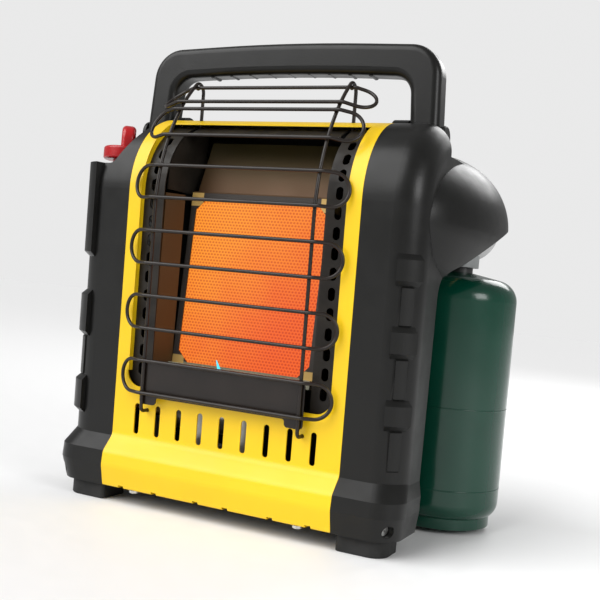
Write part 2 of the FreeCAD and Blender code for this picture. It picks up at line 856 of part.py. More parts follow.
def guard_loop(run, droop, rear_side):
    """A closed loop of wire: two long bars with rounded ends that bend back."""
    point, along, outward = guard_place(run)
    low_gap = bar_gap(run, 1)
    high_gap = bar_gap(run, rear_side)
    tilt = math.atan2(droop, guard_half - guard_bend_start)
    end = (guard_half - wire / 2 - guard_bend_start) / math.cos(tilt)
    far = Vector(guard_bend_start + end * math.cos(tilt), 0, -end * math.sin(tilt))

    def place(x, along_bar, out):
        part_way = (along_bar / guard_bar_half + 1) / 2
        off = out + low_gap + (high_gap - low_gap) * part_way
        y = point[0] + along_bar * along[0] + off * outward[0]
        z = point[1] + along_bar * along[1] + off * outward[1]
        return Vector(x, y, z)

    half = guard_bar_half
    points = [place(0, half, 0), place(guard_bend_start, half, 0), place(far.x, half, far.z)]
    points += [place(far.x, -half, far.z), place(guard_bend_start, -half, 0), place(0, -half, 0)]
    right = tube_bent(points, [guard_bend, half, half, guard_bend], wire / 2)
    return right.fuse(mirrored(right)).removeSplitter()


def guard_loops():
    runs = [guard_first + i * guard_pitch for i in range(5)]
    loops = [guard_loop(run, guard_droop, 1) for run in runs]
    return loops + [guard_loop(guard_last, guard_droop, -1)]


def guard_plate():
    low = plate_low - 6
    inner = plate_half - 15
    shape = [(-plate_half, low), (-inner, low), (-inner, plate_low), (inner, plate_low), (inner, low), (plate_half, low)]
    shape += [(plate_half, plate_high), (-plate_half, plate_high)]
    radii = [3, 3, 2, 2, 3, 3, 5, 5]
    y = guard_low_y + wire / 2 + 0.05
    plate = slab(shape, radii, in_xz(y), Vector(0, 0.8, 0))
    plate.rotate(Vector(0, guard_low_y, guard_low_z), Vector(1, 0, 0), guard_lean)
    return plate


# Linings inside the window
def lining_strip(x0, x1, inset, low, front):
    strip = profile_slab(x0, x1, inset).cut(profile_slab(x0, x1, inset + 1))
    return strip.common(box(-200, 200, -40, lining_rear, low, 400)).cut(box(-200, 200, -40, front, 0, 400))


def side_strip():
    strip = lining_strip(strip_inner, strip_outer, lining_inset, window_bottom - 5, -39)
    half = strip_hole_width / 2
    tall = strip_hole_height / 2
    for i in range(strip_holes):
        y, z, angle = front_place(strip_first + i * strip_pitch)
        points = [(-half, -tall), (half, -tall), (half, tall), (-half, tall)]
        hole = slab(points, [half - 0.05] * 4, in_xz(-8), Vector(0, 24, 0))
        hole.rotate(Vector(0, 0, 0), Vector(1, 0, 0), -math.degrees(angle))
        hole.translate(Vector(strip_middle, y, z))
        strip = strip.cut(hole)
    return strip


def top_strip():
    edge = guard_wire_x - wire / 2 - 0.8
    strip = lining_strip(-edge, edge, lining_inset, 250, top_strip_front)
    for i in range(6):
        x = (i - 2.5) * 20
        strip = strip.cut(box(x - 2.5, x + 2.5, lining_rear - 8, 60, 250, 400))
    return strip


def reflector_hood():
    low = tile_top + 4.2
    points = [(37, low), (44, low), (61, 298), (60, 298.4), (43.3, low + 1), (37, low + 1)]
    return slab(points, [0] * 6, in_yz(-hood_half), Vector(2 * hood_half, 0, 0))


def side_reflector():
    points = [(frame_half_width + 0.4, 26), (70.6, 9), (71.6, 9), (frame_half_width + 1.4, 26.2)]
    sheet_piece = slab(points, [0] * 4, in_xy(tile_bottom - 4), Vector(0, 0, tile_top - tile_bottom + 4))
    sheet_piece.rotate(Vector(0, 9, tile_bottom), Vector(1, 0, 0), math.degrees(math.atan(face_lean)) / 2)
    return sheet_piece


def upper_side_plate():
    plate = box(strip_inner, strip_inner + 1, 8, 62, tile_top + 3, 304)
    return plate.common(profile_slab(60, 80, lining_inset + 1.5))


# Burner, built upright and then leaned back
def leaned(shape):
    shape.translate(Vector(0, tile_low_y, tile_bottom))
    shape.rotate(Vector(0, tile_low_y, tile_bottom), Vector(1, 0, 0), -tile_lean)
    return shape


def tile_height():
    return tile_top - tile_bottom


def ceramic_tile():
    return leaned(box(-tile_half_width, tile_half_width, 0, tile_thick, 0, tile_height()))


def tile_gasket():
    outer = frame_half_width - 1
    inner = tile_half_width - 5
    ring = box(-outer, outer, tile_thick, tile_thick + 2, -3, tile_height() + 3)
    return leaned(ring.cut(box(-inner, inner, tile_thick - 1, tile_thick + 3, 5, tile_height() - 5)))


def tile_frame():
    top = tile_height()
    ring = box(-frame_half_width, frame_half_width, -1.4, tile_thick - 0.2, -4, top + 4)
    seat = fit_gap
    ring = ring.cut(box(-tile_half_width - seat, tile_half_width + seat, -0.2, tile_thick + 1, -seat, top + seat))
    lip = frame_lip
    half = tile_half_width - lip
    g = gusset
    points = [(-half + g, lip), (half - g, lip), (half, lip + g), (half, top - lip - g)]
    points += [(half - g, top - lip), (-half + g, top - lip), (-half, top - lip - g), (-half, lip + g)]
    return leaned(ring.cut(slab(points, [0] * 8, in_xz(-5), Vector(0, 6, 0))))


def lower_rail():
    rail = box(-frame_half_width, frame_half_width, -7, -1.4, -7, -0.5)
    return leaned(rail.cut(box(-frame_half_width + 1, frame_half_width - 1, -6, -2.4, -8, -1.5)))


def burner_box():
    y0 = tile_thick + 2
    top = tile_height()
    outer = box(-frame_half_width, frame_half_width, y0, y0 + plenum_depth, -4, top + 4)
    inner = box(-frame_half_width + 1, frame_half_width - 1, y0 - 1, y0 + plenum_depth - 1, -3, top + 3)
    place = Vector(0, venturi_y, 60)
    return leaned(outer.cut(inner)).cut(rod(venturi_radius, place, place + Vector(0, 0, 60)))


def venturi_route():
    return [Vector(venturi_mouth, venturi_y, venturi_z), Vector(0, venturi_y, venturi_z), Vector(0, venturi_y, tile_bottom + 4)]


def venturi_tube():
    outer = tube_bent(venturi_route(), [24], venturi_radius)
    return outer.cut(tube_bent(venturi_route(), [24], venturi_radius - 1))


def gas_orifice():
    x = venturi_mouth - 4
    body = rod(4, Vector(x - 12, venturi_y, venturi_z), Vector(x, venturi_y, venturi_z))
    hex_part = rod(6, Vector(x - 12, venturi_y, venturi_z), Vector(x - 7, venturi_y, venturi_z))
    jet = rod(0.6, Vector(x - 14, venturi_y, venturi_z), Vector(x + 1, venturi_y, venturi_z))
    return body.fuse(hex_part).cut(jet).removeSplitter()


def orifice_bracket():
    x = venturi_mouth - 11
    plate = box(x, x + 1.5, venturi_y - 10, venturi_y + 10, base_height + sheet, venturi_z + 11)
    foot_plate = box(x, x + 14, venturi_y - 10, venturi_y + 10, base_height + sheet, base_height + sheet + 1.5)
    return plate.fuse(foot_plate).cut(rod(4, Vector(x - 1, venturi_y, venturi_z), Vector(x + 3, venturi_y, venturi_z)))


# Valve, knob and igniter
def knob_point(dx, dy, z):
    return Vector(knob_x + dx, knob_y + dy, z)


def gas_valve_body():
    body = box(knob_x - 11, knob_x + 11, knob_y - 11, knob_y + 11, valve_bottom, valve_top)
    uprights = [edge for edge in body.Edges if edge.BoundBox.ZLength > 20]
    body = body.makeFillet(3, uprights)
    return body.cut(rod(stem_radius + running_gap, knob_point(0, 0, valve_top - 10), knob_point(0, 0, valve_top)))


def valve_stem():
    return rod(stem_radius, knob_point(0, 0, valve_top - 9.9), knob_point(0, 0, knob_disc_z + 6))


def valve_bracket():
    top = box(knob_x - 11, -101, knob_y - 11, knob_y + 13, valve_top, valve_top + sheet)
    leg = box(-101 - sheet, -101, knob_y - 11, knob_y + 13, valve_top - 30, valve_top + sheet)
    hole = rod(stem_radius + 0.4, knob_point(0, 0, valve_top - 1), knob_point(0, 0, valve_top + 5))
    return top.fuse(leg).cut(hole).removeSplitter()


def knob():
    disc = rod(knob_radius, knob_point(0, 0, knob_disc_z), knob_point(0, 0, knob_disc_z + knob_disc))
    disc = disc.makeFillet(2.2, [edge for edge in disc.Edges if edge.Curve.TypeId == "Part::GeomCircle"])
    neck = rod(knob_neck, knob_point(0, 0, knob_disc_z - 11), knob_point(0, 0, knob_disc_z + 1))
    half = fin_length / 2
    start = knob_disc_z + 2
    points = [(-half, start), (half, start), (half - 2, knob_top), (-half + 2, knob_top)]
    fin = slab(points, [0, 0, 12, 12], in_xz(-fin_width / 2), Vector(0, fin_width, 0))
    long_edges = [edge for edge in fin.Edges if edge.BoundBox.ZMax > start + 5 and edge.BoundBox.YLength < 0.01]
    fin = fin.makeFillet(3.6, long_edges)
    fin.rotate(Vector(0, 0, 0), Vector(0, 0, 1), 90 + fin_turn)
    fin.translate(Vector(knob_x, knob_y, 0))
    bore = rod(stem_radius + running_gap, knob_point(0, 0, knob_disc_z - 12), knob_point(0, 0, knob_disc_z + 9.5))
    return disc.fuse([neck, fin]).cut(bore).removeSplitter()


def piezo_igniter():
    place = Vector(piezo_x, piezo_y, valve_bottom)
    return rod(6, place, Vector(piezo_x, piezo_y, valve_top)).fuse(rod(4, place - Vector(0, 0, 6), place))


# Pilot group
def pilot_bracket():
    top = box(pilot_x - 24, pilot_x + 24, pilot_y - 8, pilot_y + 8, pilot_z, pilot_z + sheet)
    leg = box(pilot_x - 24, pilot_x + 24, pilot_y + 8 - sheet, pilot_y + 8, base_height + sheet, pilot_z + sheet)
    bracket = top.fuse(leg).removeSplitter()
    for dx, radius in ((-pilot_gap, 2.2), (pilot_gap, 2.0)):
        place = Vector(pilot_x + dx, pilot_y, pilot_z)
        bracket = bracket.cut(rod(radius, place - Vector(0, 0, 5), place + Vector(0, 0, 5)))
    window = box(pilot_x - 14, pilot_x + 14, pilot_y, pilot_y + 20, base_height + 5, pilot_z - 14)
    return bracket.cut(window)


def pilot_burner():
    place = Vector(pilot_x, pilot_y, pilot_z + sheet)
    hood = rod(4, place, place + Vector(0, 0, 11))
    return hood.cut(box(pilot_x - 1.5, pilot_x + 1.5, pilot_y - 5, pilot_y + 5, place.z + 7, place.z + 9.5))


def thermocouple():
    place = Vector(pilot_x + pilot_gap, pilot_y, pilot_z)
    return rod(2, place - Vector(0, 0, 6), place + Vector(0, 0, 14))


def spark_electrode():
    place = Vector(pilot_x - pilot_gap, pilot_y, pilot_z)
    body = rod(2.2, place - Vector(0, 0, 8), place + Vector(0, 0, 8))
    return body.fuse(rod(0.8, place + Vector(0, 0, 8), place + Vector(0, 0, 15)))


def pilot_tube():
    start = knob_point(0, -8, valve_bottom)
    low = Vector(start.x, start.y, pilot_tube_z)
    turn = Vector(pilot_x, pilot_y, pilot_tube_z)
    return tube_bent([start, low, turn, Vector(pilot_x, pilot_y, pilot_z)], [6, 6], 1.6)


def main_gas_tube():
    start = knob_point(5, 0, valve_bottom)
    low = Vector(start.x, start.y, venturi_z)
    back = Vector(start.x, venturi_y, venturi_z)
    end = Vector(venturi_mouth - 16, venturi_y, venturi_z)
    return gas_tube([start, low, back, end], [8, 8])


def supply_tube():
    start = knob_point(-5, 0, valve_bottom)
    low = Vector(start.x, start.y, supply_z)
    right = Vector(cylinder_x, start.y, supply_z)
    up = Vector(cylinder_x, start.y, swivel_z)
    return gas_tube([start, low, right, up, Vector(cylinder_x, spindle_front, swivel_z)], [10, 10, 8])


def ignition_lead():
    start = Vector(pilot_x - pilot_gap, pilot_y, pilot_z - 8)
    low = Vector(start.x, start.y, ignition_lead_z)
    left = Vector(piezo_x, start.y, ignition_lead_z)
    back = Vector(piezo_x, piezo_y, ignition_lead_z)
    return tube_bent([start, low, left, back, Vector(piezo_x, piezo_y, valve_bottom - 6)], [6, 6, 6], 1.1)


def thermocouple_lead():
    start = Vector(pilot_x + pilot_gap, pilot_y, pilot_z - 6)
    low = Vector(start.x, start.y, sensor_lead_z)
    back = Vector(start.x, switch_y, sensor_lead_z)
    return tube_bent([start, low, back, Vector(switch_x, switch_y, sensor_lead_z)], [6, 6], 1.1)


def tip_switch():
    floor = base_height + sheet
    case = box(switch_x - 24, switch_x, switch_y - 10, switch_y + 10, floor, floor + 26)
    tabs = box(switch_x - 24, switch_x, switch_y - 16, switch_y + 16, floor, floor + 2)
    return case.fuse(tabs).removeSplitter()


# Swivelling regulator and gas cylinder
def swivel_bracket():
    right = cylinder_x + spindle_radius - 0.9
    left = cylinder_x - spindle_radius - 24
    plate = box(left, right, spindle_front, spindle_front + 2.5, swivel_z - 18, swivel_z + 18)
    place = Vector(cylinder_x, 0, swivel_z)
    return plate.cut(rod(spindle_radius, place, place + Vector(0, 90, 0)))


def swivel_spindle():
    start = Vector(cylinder_x, spindle_front, swivel_z)
    end = Vector(cylinder_x, drum_front + spindle_seat, swivel_z)
    return rod(spindle_radius, start, end).cut(rod(tube_bore, start, end - Vector(0, 10, 0)))


def regulator_body():
    start = Vector(cylinder_x, drum_front, swivel_z)
    drum = rod(drum_radius, start, start + Vector(0, drum_depth, 0))
    rims = [edge for edge in drum.Edges if edge.Curve.TypeId == "Part::GeomCircle"]
    drum = drum.makeFillet(2.5, rims)
    bore = rod(spindle_radius + running_gap, start - Vector(0, 1, 0), start + Vector(0, spindle_seat + 0.5, 0))
    pocket = rod(socket_radius, Vector(cylinder_x, cylinder_y, 190), Vector(cylinder_x, cylinder_y, socket_top))
    return drum.cut(bore).cut(pocket)


def regulator_cap():
    start = Vector(cylinder_x, drum_front + drum_depth, swivel_z)
    cap = rod(drum_radius - 6, start, start + Vector(0, cap_depth, 0))
    rim = [edge for edge in cap.Edges if edge.BoundBox.YMin > start.y + cap_depth - 0.1]
    cap = cap.makeFillet(2, rim)
    return cap.cut(rod(1, start, start + Vector(0, cap_depth + 1, 0)))


def inlet_socket():
    low = Vector(cylinder_x, cylinder_y, socket_low)
    high = Vector(cylinder_x, cylinder_y, socket_top)
    block = rod(socket_radius, low, high)
    return block.cut(rod(thread_radius + running_gap, low - Vector(0, 0, 1), low + Vector(0, 0, thread_length + 1)))


def revolved(points, radii):
    face = Part.Face(outline(points, radii, in_xz(0)))
    solid = face.revolve(Vector(0, 0, 0), Vector(0, 0, 1), 360)
    solid.translate(Vector(cylinder_x, cylinder_y, 0))
    return solid


def cylinder_shell():
    floor = cylinder_bottom + 6
    shoulder = cylinder_neck_z - 7
    wall = cylinder_wall
    r = cylinder_radius
    outer = revolved([(0, floor), (r, floor), (r, shoulder), (0, cylinder_neck_z + 2)], [0, 14, 18, 0])
    r = cylinder_radius - wall
    inner = revolved([(0, floor + wall), (r, floor + wall), (r, shoulder - wall), (0, cylinder_neck_z + 2 - wall)], [0, 13, 17, 0])
    ring = revolved([(41, cylinder_bottom), (42.5, cylinder_bottom), (42.5, floor + 3), (41, floor + 3)], [0.4, 0.4, 0, 0])
    neck = rod(neck_radius, Vector(cylinder_x, cylinder_y, shoulder - 5), Vector(cylinder_x, cylinder_y, 240))
    return outer.fuse(ring).cut(inner).cut(neck).removeSplitter()


def cylinder_valve():
    start = Vector(cylinder_x, cylinder_y, cylinder_neck_z - 5)
    collar = rod(neck_radius, start, Vector(cylinder_x, cylinder_y, socket_low))
    thread = rod(thread_radius, Vector(cylinder_x, cylinder_y, socket_low), Vector(cylinder_x, cylinder_y, socket_low + thread_length))
    port = rod(3, start, Vector(cylinder_x, cylinder_y, socket_low + thread_length - 4))
    return collar.fuse(thread).cut(port).removeSplitter()


def pair(name, shape):
    """Add a right-hand piece and its mirror image on the left."""
    parts[name + "_left"] = mirrored(shape)
    parts[name + "_right"] = shape


parts["front_panel"] = front_panel()
parts["left_casing"] = left_casing()
parts["right_casing"] = right_casing()
parts["rear_cover"] = rear_cover()
parts["base_pan"] = base_pan()
pair("foot_front", foot(foot_inner, foot_outer, foot_front))
parts["foot_rear_left"] = mirrored(foot(foot_inner, foot_outer, rear_foot_y))
parts["foot_rear_right"] = rear_right_foot()
parts["base_screws"] = base_screws()
parts["casing_screws"] = casing_screws()
parts["handle"] = handle()
parts["handle_pivot_pins"] = handle_pivot_pins()
pair("guard_upright", guard_upright())
for number, loop in enumerate(guard_loops(), 1):
    parts["guard_loop_" + str(number)] = loop
parts["guard_plate"] = guard_plate()
pair("side_strip", side_strip())
parts["top_strip"] = top_strip()
parts["reflector_hood"] = reflector_hood()
pair("side_reflector", side_reflector())
pair("upper_side_plate", upper_side_plate())
parts["burner_box"] = burner_box()
parts["ceramic_tile"] = ceramic_tile()
parts["tile_gasket"] = tile_gasket()
parts["tile_frame"] = tile_frame()
parts["lower_rail"] = lower_rail()
parts["venturi_tube"] = venturi_tube()
parts["gas_orifice"] = gas_orifice()
parts["orifice_bracket"] = orifice_bracket()
parts["gas_valve_body"] = gas_valve_body()
parts["valve_stem"] = valve_stem()
parts["valve_bracket"] = valve_bracket()
parts["knob"] = knob()
parts["piezo_igniter"] = piezo_igniter()
parts["pilot_bracket"] = pilot_bracket()
parts["pilot_burner"] = pilot_burner()
parts["thermocouple"] = thermocouple()
parts["spark_electrode"] = spark_electrode()
parts["pilot_tube"] = pilot_tube()
parts["main_gas_tube"] = main_gas_tube()
parts["supply_tube"] = supply_tube()
parts["ignition_lead"] = ignition_lead()
parts["thermocouple_lead"] = thermocouple_lead()
parts["tip_switch"] = tip_switch()
parts["swivel_bracket"] = swivel_bracket()
parts["swivel_spindle"] = swivel_spindle()
parts["regulator_body"] = regulator_body()
parts["regulator_cap"] = regulator_cap()
parts["inlet_socket"] = inlet_socket()
parts["cylinder_shell"] = cylinder_shell()
parts["cylinder_valve"] = cylinder_valve()

# The origin is on the floor, under the middle of the whole
bounds = Part.makeCompound(list(parts.values())).optimalBoundingBox(False)
origin = Vector((bounds.XMin + bounds.XMax) / 2, (bounds.YMin + bounds.YMax) / 2, 0)
print("origin", origin, bounds)
os.makedirs("parts", exist_ok=True)
for name, shape in parts.items():
    shape.translate(origin * -1)
    shape.exportStep("parts/" + name + ".step")
    print(name, len(shape.Solids), shape.isValid(), round(shape.Volume / 1000, 2))
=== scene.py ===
"""Finish of a portable propane heater: painted front, moulded casings, wire guard and
glowing tile. Metres, +Z up, front towards -Y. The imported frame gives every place."""
import json
import math

import bpy
from bpy.props import FloatProperty, FloatVectorProperty, IntProperty, PointerProperty
from mathutils import Matrix, Vector

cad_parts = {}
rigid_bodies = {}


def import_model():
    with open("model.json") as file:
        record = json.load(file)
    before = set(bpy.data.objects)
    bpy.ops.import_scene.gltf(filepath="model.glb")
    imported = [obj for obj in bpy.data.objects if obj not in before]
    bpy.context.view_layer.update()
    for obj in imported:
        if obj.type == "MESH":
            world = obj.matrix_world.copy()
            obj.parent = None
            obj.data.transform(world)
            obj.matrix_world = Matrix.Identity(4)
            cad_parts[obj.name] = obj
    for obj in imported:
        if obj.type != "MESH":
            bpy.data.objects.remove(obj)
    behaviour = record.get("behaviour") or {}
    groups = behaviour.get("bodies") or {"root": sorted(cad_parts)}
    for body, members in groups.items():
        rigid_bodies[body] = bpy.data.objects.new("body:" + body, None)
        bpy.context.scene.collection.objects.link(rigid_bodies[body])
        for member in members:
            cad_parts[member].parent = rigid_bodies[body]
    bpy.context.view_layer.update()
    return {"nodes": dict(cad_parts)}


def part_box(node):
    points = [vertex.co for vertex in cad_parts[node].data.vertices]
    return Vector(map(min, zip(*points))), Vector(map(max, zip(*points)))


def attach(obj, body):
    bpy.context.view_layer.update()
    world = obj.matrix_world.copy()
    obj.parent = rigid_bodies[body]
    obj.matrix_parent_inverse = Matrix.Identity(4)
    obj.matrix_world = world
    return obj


bl_info = {
    "name": "Portable propane heater",
    "version": (1, 0, 0),
    "blender": (4, 5, 0),
    "location": "View3D > Sidebar > Heater",
    "description": "Finishes and small pieces of a portable propane heater",
    "category": "Object",
}

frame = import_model()
cad = frame["nodes"]

# Colours of bare metals and small parts
ZINC = (0.55, 0.55, 0.53)
CAST_ALLOY = (0.45, 0.45, 0.45)
GREY_PLASTIC = (0.26, 0.27, 0.27)
COPPER = (0.62, 0.30, 0.16)
BRASS = (0.68, 0.48, 0.18)
LEAD_SLEEVE = (0.05, 0.05, 0.05)
WHITE_CERAMIC = (0.85, 0.84, 0.80)
VALVE_BLACK = (0.02, 0.02, 0.02)
# Near-black steel inside the window, partly painted shade: it also fills the shadowed gaps beside the tile
DARK_STEEL_AND_SHADE = (0.016, 0.013, 0.010)
RAIL_STEEL = (0.30, 0.30, 0.23)
GASKET_FIBRE = (0.75, 0.73, 0.68)
# Reflector tints, lower then upper: heat tint of the steel plus a painted glow of the tile, more orange for
# the lower part near the tile
HOOD_HEAT_AND_GLOW_TINTS = ((0.085, 0.040, 0.012), (0.050, 0.038, 0.011))
SIDE_HEAT_AND_GLOW_TINTS = ((0.09, 0.045, 0.010), (0.07, 0.036, 0.010))
FRAME_DARK = (0.02, 0.014, 0.01)
FRAME_LIP = (0.17, 0.17, 0.11)
FRAME_CORNER = (0.50, 0.32, 0.09)

# Small sizes in metres
CORNER_SIZE = 0.011
LIP_HEIGHT = 0.005
EDGE_BLUR = 0.001
FLAME_FOOT = 0.0022
FLAME_TIP = 0.0003
BESIDE_UPRIGHT = 0.004
WELD_SETBACK = 0.0009
FLAME_LEAN = Vector((-0.55, 0.40, 0.73)).normalized()

# Lights: place, size in metres and power in watts
RIGHT_LIGHT = ((1.6, -0.7, 0.8), 0.7, 12)
REAR_LIGHT = ((0.3, 1.4, 1.2), 0.8, 9)
LIGHT_TARGET = Vector((0, 0, 0.17))
SUN_DIRECTION = Vector((0.5, 0.62, -0.66))
SUN_SPREAD = math.radians(60)
SENSOR_WIDTH = 36.0


def middle(node):
    low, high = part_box(node)
    return (low + high) / 2


def colour_property(name, description, default):
    return FloatVectorProperty(name=name, description=description, subtype="COLOR", size=3,
                               min=0, max=1, default=default)


def length_property(name, description, default):
    return FloatProperty(name=name, description=description, unit="LENGTH", subtype="DISTANCE",
                         min=0, default=default)


def factor_property(name, description, default):
    return FloatProperty(name=name, description=description, subtype="FACTOR", min=0, max=1, default=default)


class HeaterPaints(bpy.types.PropertyGroup):
    """Colours of the painted and moulded surfaces."""
    yellow: colour_property("Front paint", "Powder coat of the front panel", (0.82, 0.53, 0.005))
    black: colour_property("Casing plastic", "Moulded casings and handle", (0.006, 0.006, 0.0055))
    wire: colour_property("Guard coat", "Heat proof coat of the wire guard", (0.012, 0.008, 0.006))
    green: colour_property("Cylinder enamel", "Enamel of the gas cylinder", (0.001, 0.042, 0.024))
    red: colour_property("Knob plastic", "Glossy plastic of the control knob", (0.40, 0.005, 0.008))
    grain: length_property("Moulding grain", "Size of the fine texture on the moulded plastic", 0.0011)


class HeaterBurner(bpy.types.PropertyGroup):
    """The glowing tile and what it lights."""
    hot: colour_property("Hot tile", "Colour of the hottest part of the tile", (0.97, 0.31, 0.018))
    cool: colour_property("Cool tile", "Colour of the coolest part of the tile", (0.88, 0.115, 0.014))
    glow: FloatProperty(name="Glow", description="Strength of the tile's light", min=0, default=1.0)
    hole_pitch: length_property("Hole pitch", "Distance between the tile's burner holes", 0.0028)
    hole_size: factor_property("Hole size", "Radius of a burner hole as part of the pitch", 0.34)
    flame_length: length_property("Pilot flame", "Length of the pilot flame", 0.016)


class HeaterDetails(bpy.types.PropertyGroup):
    """Sizes of the small pieces."""
    weld_radius: length_property("Weld radius", "Radius of the weld at each wire crossing", 0.0019)
    seam_bead: length_property("Seam bead", "Radius of the cylinder's seam beads", 0.0007)
    seam_low: length_property("Lower seam", "Height of the cylinder's lower seam", 0.036)
    seam_high: length_property("Upper seam", "Height of the cylinder's upper seam", 0.101)
    seam_segments: IntProperty(name="Seam segments", description="Segments round a seam bead",
                               min=12, default=96)


class HeaterStage(bpy.types.PropertyGroup):
    """Camera, light and floor."""
    camera_place: FloatVectorProperty(name="Camera", description="Place of the camera", unit="LENGTH",
                                      size=3, default=(0.33884, -0.71611, 0.18546))
    camera_yaw: FloatProperty(name="Yaw", description="Turn of the camera to the object's right side",
                              subtype="ANGLE", default=math.radians(25.33))
    camera_pitch: FloatProperty(name="Pitch", description="Camera's height angle", subtype="ANGLE",
                                default=math.radians(0.79))
    camera_roll: FloatProperty(name="Roll", description="Camera's roll", subtype="ANGLE",
                               default=math.radians(5.42))
    focal_length: FloatProperty(name="Focal length", description="Camera's lens", unit="CAMERA", default=57.0)
    floor_size: length_property("Floor size", "Side of the floor", 12.0)
    floor_colour: colour_property("Floor", "Colour of the floor", (0.88, 0.88, 0.88))
    sky: FloatProperty(name="Sky", description="Strength of the light from all round", min=0, default=0.35)
    sun: FloatProperty(name="Sun", description="Strength of the soft main light", min=0, default=3.3)
    backdrop: FloatProperty(name="Backdrop", description="Brightness of the backdrop behind the object",
                            min=0, default=0.82)


# Material building blocks
def new_material(name):
    material = bpy.data.materials.new(name)
    material.use_nodes = True
    tree = material.node_tree
    tree.nodes.clear()
    shader = tree.nodes.new("ShaderNodeBsdfPrincipled")
    output = tree.nodes.new("ShaderNodeOutputMaterial")
    tree.links.new(shader.outputs["BSDF"], output.inputs["Surface"])
    return material, tree, shader


def object_coordinates(tree):
    return tree.nodes.new("ShaderNodeTexCoord").outputs["Object"]


def noise(tree, size, detail=3.0):
    """Noise with features of about this size, in metres."""
    node = tree.nodes.new("ShaderNodeTexNoise")
    node.inputs["Scale"].default_value = 1 / size
    node.inputs["Detail"].default_value = detail
    tree.links.new(object_coordinates(tree), node.inputs["Vector"])
    return node.outputs["Fac"]


def spread(tree, value, low, high, to_low=0.0, to_high=1.0):
    node = tree.nodes.new("ShaderNodeMapRange")
    node.interpolation_type = "SMOOTHSTEP"
    tree.links.new(value, node.inputs["Value"])
    node.inputs["From Min"].default_value = low
    node.inputs["From Max"].default_value = high
    node.inputs["To Min"].default_value = to_low
    node.inputs["To Max"].default_value = to_high
    return node.outputs["Result"]


def calculate(tree, operation, first, second=None):
    node = tree.nodes.new("ShaderNodeMath")
    node.operation = operation
    for socket, value in zip(node.inputs, (first, second)):
        if value is None:
            continue
        if isinstance(value, (int, float)):
            socket.default_value = value
        else:
            tree.links.new(value, socket)
    return node.outputs["Value"]


def blend_colours(tree, factor, first, second):
    node = tree.nodes.new("ShaderNodeMix")
    node.data_type = "RGBA"
    tree.links.new(factor, node.inputs["Factor"])
    colour_sockets = [socket for socket in node.inputs if socket.type == "RGBA"]
    for socket, value in zip(colour_sockets, (first, second)):
        if isinstance(value, bpy.types.NodeSocket):
            tree.links.new(value, socket)
        else:
            socket.default_value = (*value, 1)
    return [socket for socket in node.outputs if socket.type == "RGBA"][0]


def bump(tree, shader, height, depth, strength=1.0):
    node = tree.nodes.new("ShaderNodeBump")
    node.inputs["Strength"].default_value = strength
    node.inputs["Distance"].default_value = depth
    tree.links.new(height, node.inputs["Height"])
    tree.links.new(node.outputs["Normal"], shader.inputs["Normal"])


def shade(colour, amount):
    return tuple(min(1.0, c * amount) for c in colour)


def surface(name, colour, roughness, metallic=0.0, coat=0.0, grain=0.004, depth=0.0,
            mottle=0.12, mottle_size=0.05, specular=0.5):
    """A finish with slow changes of tone, a little variation in gloss and a fine grain."""
    material, tree, shader = new_material(name)
    tone = spread(tree, noise(tree, mottle_size), 0.3, 0.7)
    colours = blend_colours(tree, tone, shade(colour, 1 - mottle), shade(colour, 1 + mottle))
    tree.links.new(colours, shader.inputs["Base Color"])
    gloss = spread(tree, noise(tree, mottle_size / 3), 0.3, 0.7, roughness * 0.88, min(1.0, roughness * 1.12))
    tree.links.new(gloss, shader.inputs["Roughness"])
    shader.inputs["Metallic"].default_value = metallic
    shader.inputs["Coat Weight"].default_value = coat
    shader.inputs["Coat Roughness"].default_value = 0.08
    shader.inputs["Specular IOR Level"].default_value = specular
    if depth:
        bump(tree, shader, noise(tree, grain, 2.0), depth)
    return material


def tile_material(burner):
    """Ceramic full of burner holes in staggered rows, hottest at the top left."""
    material, tree, shader = new_material("glowing_tile")
    split = tree.nodes.new("ShaderNodeSeparateXYZ")
    tree.links.new(object_coordinates(tree), split.inputs["Vector"])
    across = calculate(tree, "DIVIDE", split.outputs["X"], burner.hole_pitch)
    up = calculate(tree, "DIVIDE", split.outputs["Z"], burner.hole_pitch * 0.866)
    row = calculate(tree, "MODULO", calculate(tree, "FLOOR", up), 2.0)
    shift = calculate(tree, "MULTIPLY", row, 0.5)
    across = calculate(tree, "ADD", calculate(tree, "ADD", across, shift), 500.0)
    dx = calculate(tree, "SUBTRACT", calculate(tree, "FRACT", across), 0.5)
    dz = calculate(tree, "SUBTRACT", calculate(tree, "FRACT", up), 0.5)
    square_x = calculate(tree, "MULTIPLY", dx, dx)
    square_z = calculate(tree, "MULTIPLY", dz, dz)
    square = calculate(tree, "ADD", square_x, square_z)
    distance = calculate(tree, "SQRT", square)
    hole = spread(tree, distance, burner.hole_size * 0.7, burner.hole_size * 1.3)
    low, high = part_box("ceramic_tile")
    height = spread(tree, split.outputs["Z"], low.z, high.z)
    right_side = spread(tree, split.outputs["X"], low.x, high.x)
    patches = spread(tree, noise(tree, 0.03), 0.3, 0.7, -0.12, 0.12)
    heat = calculate(tree, "SUBTRACT", calculate(tree, "ADD", height, patches), right_side)
    heat = spread(tree, heat, -0.9, 0.9)
    body = blend_colours(tree, heat, burner.cool, burner.hot)
    dotted = blend_colours(tree, hole, (0.66, 0.36, 0.30), (1.0, 1.0, 1.0))
    mix = tree.nodes.new("ShaderNodeMix")
    mix.data_type = "RGBA"
    mix.blend_type = "MULTIPLY"
    mix.inputs["Factor"].default_value = 0.85
    sockets = [socket for socket in mix.inputs if socket.type == "RGBA"]
    tree.links.new(body, sockets[0])
    tree.links.new(dotted, sockets[1])
    glow = [socket for socket in mix.outputs if socket.type == "RGBA"][0]
    tree.links.new(glow, shader.inputs["Emission Color"])
    shader.inputs["Emission Strength"].default_value = burner.glow
    shader.inputs["Base Color"].default_value = (0.05, 0.02, 0.01, 1)
    shader.inputs["Roughness"].default_value = 0.9
    bump(tree, shader, hole, 0.0006, 0.6)
    return material


